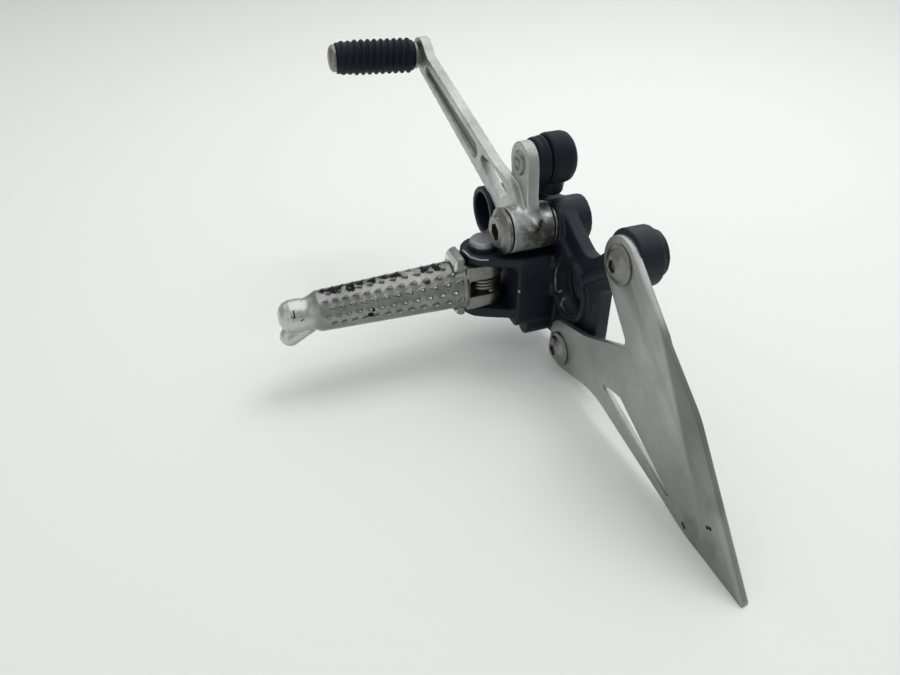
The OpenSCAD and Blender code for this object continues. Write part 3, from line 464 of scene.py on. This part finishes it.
def soften(node, name, voxel_mm, rounds, cutter=None, drop=None):
    """A remeshed and smoothed copy of a node, with a cutter taken out of it and a lump added first."""
    piece = copy_of(node, name)
    if drop is not None:
        add_drop(piece.data, drop)
    if cutter is not None:
        cut = piece.modifiers.new("cut", "BOOLEAN")
        cut.operation = "DIFFERENCE"
        cut.object = cutter
    skin = piece.modifiers.new("skin", "REMESH")
    skin.mode = "VOXEL"
    skin.voxel_size = voxel_mm * MM
    skin.use_smooth_shade = True
    smooth = piece.modifiers.new("smooth", "SMOOTH")
    smooth.factor = 0.5
    smooth.iterations = rounds
    apply_modifiers(piece)
    if cutter is not None:
        bpy.data.objects.remove(cutter)
    return piece


def rounded(outline, rounds):
    """An outline whose corners are cut off again and again, until they are round."""
    for _ in range(rounds):
        sides = list(zip(outline, outline[1:] + outline[:1]))
        outline = [(a[0] + (b[0] - a[0]) * part, a[1] + (b[1] - a[1]) * part)
                   for a, b in sides for part in (0.2, 0.8)]
    return outline


def window_cutter(outline, top, bottom):
    """A prism through the lever's blade that opens its window to the width in the photograph."""
    bm = bmesh.new()
    rim = [bm.verts.new(on_blade(u, v, top) * MM) for u, v in rounded(outline, 3)]
    face = bmesh.ops.contextual_create(bm, geom=rim)["faces"]
    walls = bmesh.ops.extrude_face_region(bm, geom=face)["geom"]
    moved = [g for g in walls if isinstance(g, bmesh.types.BMVert)]
    bmesh.ops.translate(bm, verts=moved, vec=outward * (bottom - top) * MM)
    bmesh.ops.recalc_face_normals(bm, faces=bm.faces)
    return object_from(bm, "window_cutter")


bracket = soften("bracket", "cast_bracket", 0.74, 5)
dress(bracket, "bracket", "bracket", bracket_paint)
peg = soften("footpeg", "cast_footpeg", 0.42, 2)
dress(peg, "footpeg", "footpeg", cast)
window_outline = [(17, 4), (14.2, 8.5), (15.2, 11.6), (27, 11.5), (38.5, 9.8), (42, 6)]
hub_drop = [((14.2, 35.4, 37.2), 4.6), ((10.2, 31.0, 42.6), 2.8)]
lever = soften("gear_lever", "forged_gear_lever", 0.42, 2, window_cutter(window_outline, 1.5, -6.2), hub_drop)
dress(lever, "gear_lever", "gear_lever", forged)

# %% [markdown]
# ## Teeth of the footpeg
# Six rows of three-sided teeth grip the boot. The smoothing above rounds them off, and on the
# real peg their edges are sharp, so crisp teeth stand over the soft ones. Each is the hull of
# four corners in the barrel's own directions, smaller towards the tip, with a hair of bevel.

# %% Teeth of the footpeg
rows, columns = 6, 12
first, last = 17.3, 84.2                  # where the teeth begin and end, in mm from the fold pin
fan_middle, fan_width = 44, 107           # the rows' directions round the barrel, in degrees
start_radius, end_radius = 12.525, 10.2   # the barrel's radii at 15.4 mm and 88 mm from the pin
pin_y = 47.5
bm = bmesh.new()
for row in range(rows):
    for column in range(columns):
        share = (column + (row % 2) / 2) / (columns - 0.5)
        reach = first + (last - first) * share * (1 + 0.2 * (1 - share))
        size = (1 - 0.25 * (reach - first) / (last - first)) * 1.03
        angle = math.radians(fan_middle + fan_width * (row / (rows - 1) - 0.5))
        radial = Vector((math.sin(angle), 0, math.cos(angle)))
        sideways = Vector((math.cos(angle), 0, -math.sin(angle)))
        radius = start_radius + (end_radius - start_radius) * (reach - 15.4) / (88 - 15.4)
        foot_of_tooth = Vector((peg_x, pin_y + reach, peg_z)) + radial * radius
        corners = [(-0.7, -2, -2.35), (-0.7, 2, -2.35), (-0.7, 0, 3.25), (1.9, 0, -1.68)]
        tooth = [bm.verts.new((foot_of_tooth + size * (r * radial + w * sideways + Vector((0, a, 0)))) * MM)
                 for r, w, a in corners]
        bmesh.ops.convex_hull(bm, input=tooth)
bmesh.ops.bevel(bm, geom=bm.edges[:], offset=0.1 * MM, segments=1, profile=0.5, affect="EDGES", material=-1)
bmesh.ops.recalc_face_normals(bm, faces=bm.faces)
teeth = object_from(bm, "peg_teeth")
teeth.data.materials.append(cast)
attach(teeth, "footpeg")
print(rows * columns, "teeth,", len(teeth.data.polygons), "faces")

# %% [markdown]
# ## Turned steel
# Bolt heads, the fold pin, the ball stud and the toe pin are small turned pieces with a broken
# edge all round. The same skin does it with squares of a quarter of a millimetre, so their
# sockets and rims stay crisp.

# %% Turned steel
turned = [("guard_bolts", "bracket", 0.26, 3), ("pivot_bolt", "bracket", 0.2, 6),
          ("ball_stud", "gear_lever", 0.24, 3), ("toe_pin", "gear_lever", 0.28, 3),
          ("lever_washer", "bracket", 0.2, 1)]
for node, body, voxel_mm, rounds in turned:
    dress(soften(node, "turned_" + node, voxel_mm, rounds), node, body, zinc)
dress(soften("peg_pin", "turned_peg_pin", 0.26, 3), "peg_pin", "bracket", satin)

# %% [markdown]
# ## Flat and thin pieces
# The sheet guard, the rings and the clip keep crisp edges, but a real edge is never perfectly
# sharp, and the thin line of light along it is what makes metal look like metal. A merged copy
# of the guard takes a narrow Bevel modifier, limited to its sharp angles. The small rings only
# need their round faces shaded smooth and their sharp edges kept.


# %% Flat and thin pieces
def bevelled(node, name, width_mm):
    """A merged copy, freed of edges inside its flat faces, with a narrow bevel on the sharp ones."""
    piece = copy_of(node, name)
    bm = bmesh.new()
    bm.from_mesh(piece.data)
    bmesh.ops.dissolve_limit(bm, angle_limit=math.radians(0.5), verts=bm.verts, edges=bm.edges)
    for face in bm.faces:
        face.smooth = True
    bm.to_mesh(piece.data)
    bm.free()
    edge = piece.modifiers.new("edge", "BEVEL")
    edge.width = width_mm * MM
    edge.segments = 2
    edge.limit_method = "ANGLE"
    edge.angle_limit = math.radians(32)
    edge.harden_normals = True
    return piece


def crisp(node, name):
    """A merged copy that is smooth apart from its sharp edges."""
    piece = copy_of(node, name)
    for face in piece.data.polygons:
        face.use_smooth = True
    piece.data.set_sharp_from_angle(angle=math.radians(35))
    return piece


dress(bevelled("heel_guard", "folded_heel_guard", 0.4), "heel_guard", "bracket", sheet)
dress(crisp("mount_snap_ring", "wire_snap_ring"), "mount_snap_ring", "bracket", ring_steel)
dress(crisp("peg_pin_washer", "pin_washer"), "peg_pin_washer", "bracket", black_steel)
dress(crisp("peg_pin_clip", "pin_clip"), "peg_pin_clip", "bracket", zinc)
dress(crisp("lever_bush", "pivot_bush"), "lever_bush", "gear_lever", bronze)
dress(soften("rod_end", "socket_and_shank", 0.35, 3), "rod_end", "rod_end", black_steel)

# %% [markdown]
# ## Springs and rubber
# The spring is wire wound on a mandrel, and it is made the same way: a small ring of points is
# spun about the fold pin and moved one pitch along it each turn. The rubber sleeve, bellows and
# cap are moulded and round everywhere, so they take the soft skin of the cast pieces.

# %% Springs and rubber
wire, coil, turns, pitch = 0.85, 8.6, 4.0, 1.95   # radii of the wire and of its coil, and the pitch, in mm
steps = 96
start = Vector((-26 - pitch * turns / 2, pin_y, peg_z))
quarter_turn = Matrix.Rotation(math.radians(90), 3, "X")
bm = bmesh.new()
bmesh.ops.create_circle(bm, cap_ends=False, radius=wire * MM, segments=12)
bmesh.ops.rotate(bm, verts=bm.verts, cent=(0, 0, 0), matrix=quarter_turn)
bmesh.ops.translate(bm, verts=bm.verts, vec=(start + Vector((0, 0, coil))) * MM)
bmesh.ops.spin(bm, geom=bm.verts[:] + bm.edges[:], cent=start * MM, axis=(1, 0, 0),
               dvec=(pitch * turns / steps * MM, 0, 0), angle=math.radians(360 * turns),
               steps=steps, use_duplicate=False)
bmesh.ops.holes_fill(bm, edges=[e for e in bm.edges if e.is_boundary], sides=0)
bmesh.ops.recalc_face_normals(bm, faces=bm.faces)
for face in bm.faces:
    face.smooth = len(face.verts) < 5
spring = object_from(bm, "coiled_peg_spring")
dress(spring, "peg_spring", "bracket", zinc)
dress(soften("toe_rubber", "ribbed_toe_rubber", 0.35, 2), "toe_rubber", "gear_lever", rubber)
dress(soften("rod_end_boot", "bellows", 0.3, 3), "rod_end_boot", "gear_lever", rubber)
dress(soften("rod_end_cap", "joint_cap", 0.35, 6), "rod_end_cap", "rod_end", rubber)
dress(crisp("lever_seals", "pivot_seals"), "lever_seals", "gear_lever", rubber)

# %% [markdown]
# ## Floor and light
# The part lies on a pale floor that its frame's forward axis stands on, so the floor is a
# plane across X. It glows a little for the camera and for reflections, so that it stays pale,
# and keeps the shadow. A large soft lamp above it and a weak one from the side are the studio.
# A third, smaller lamp draws the shadow under the peg. It is hidden from reflections, because
# a small bright square in polished metal would burn out to white.

# %% Floor
floor_x = -0.066
glow_share = 0.13
bm = bmesh.new()
bmesh.ops.create_grid(bm, x_segments=1, y_segments=1, size=4.0)
bmesh.ops.rotate(bm, verts=bm.verts, cent=(0, 0, 0), matrix=Matrix.Rotation(math.radians(90), 3, "Y"))
bmesh.ops.translate(bm, verts=bm.verts, vec=(floor_x, 0, 0))
floor = object_from(bm, "floor")
pale, t, shader, place = new_material("pale_floor")
shader.inputs["Base Color"].default_value = linear("#dcdfdb")
shader.inputs["Roughness"].default_value = 0.7
glow = add(t, "Emission", Color=linear("#dfe2de"), Strength=1.0)
rays = add(t, "LightPath").outputs
seen = any_of(t, [rays["Is Camera Ray"], rays["Is Glossy Ray"], rays["Is Transmission Ray"]])
share = add(t, "Math", {"operation": "MULTIPLY"}, in0=seen, in1=glow_share)
lit = add(t, "MixShader", in0=share.outputs["Value"], in1=shader.outputs["BSDF"], in2=glow.outputs["Emission"])
# From behind the floor is clear, so that a view from below still shows the part
behind = add(t, "NewGeometry").outputs["Backfacing"]
clear = add(t, "BsdfTransparent")
whole = add(t, "MixShader", in0=behind, in1=lit.outputs["Shader"], in2=clear.outputs["BSDF"])
t.links.new(whole.outputs["Shader"], t.nodes["Material Output"].inputs["Surface"])
floor.data.materials.append(pale)
print("floor at x =", floor_x)

# %% Light
world = bpy.data.worlds.new("studio")
bpy.context.scene.world = world
world.use_nodes = True
t = world.node_tree
background = t.nodes["Background"]
to_camera = add(t, "LightPath").outputs["Is Camera Ray"]
tone = add(t, "Mix", {"data_type": "RGBA"}, Factor=to_camera, A=linear("#aeb1b3"), B=linear("#e2e5e1"))
t.links.new(tone.outputs["Result"], background.inputs["Color"])
background.inputs["Strength"].default_value = 1.0


def soft_lamp(name, spot, aim, size, watts):
    """A square lamp at one place that faces another, all in metres."""
    data = bpy.data.lights.new(name, "AREA")
    data.shape = "SQUARE"
    data.size = size
    data.energy = watts
    lamp = bpy.data.objects.new(name, data)
    lamp.location = spot
    lamp.rotation_euler = (Vector(aim) - Vector(spot)).to_track_quat("-Z", "Y").to_euler()
    bpy.context.collection.objects.link(lamp)
    print(name, watts, "W")
    return lamp


middle = (0, 0.03, 0.05)
soft_lamp("overhead", (0.9, -0.3, -0.3), (0, 0, 0), 2.0, 11.2)
key = soft_lamp("key", (0.75, -0.22, -0.2), middle, 0.4, 3.0)
key.visible_glossy = False
soft_lamp("side", (0.35, 0.85, 0.45), middle, 0.9, 0.9)
bpy.context.scene.view_settings.view_transform = "Standard"
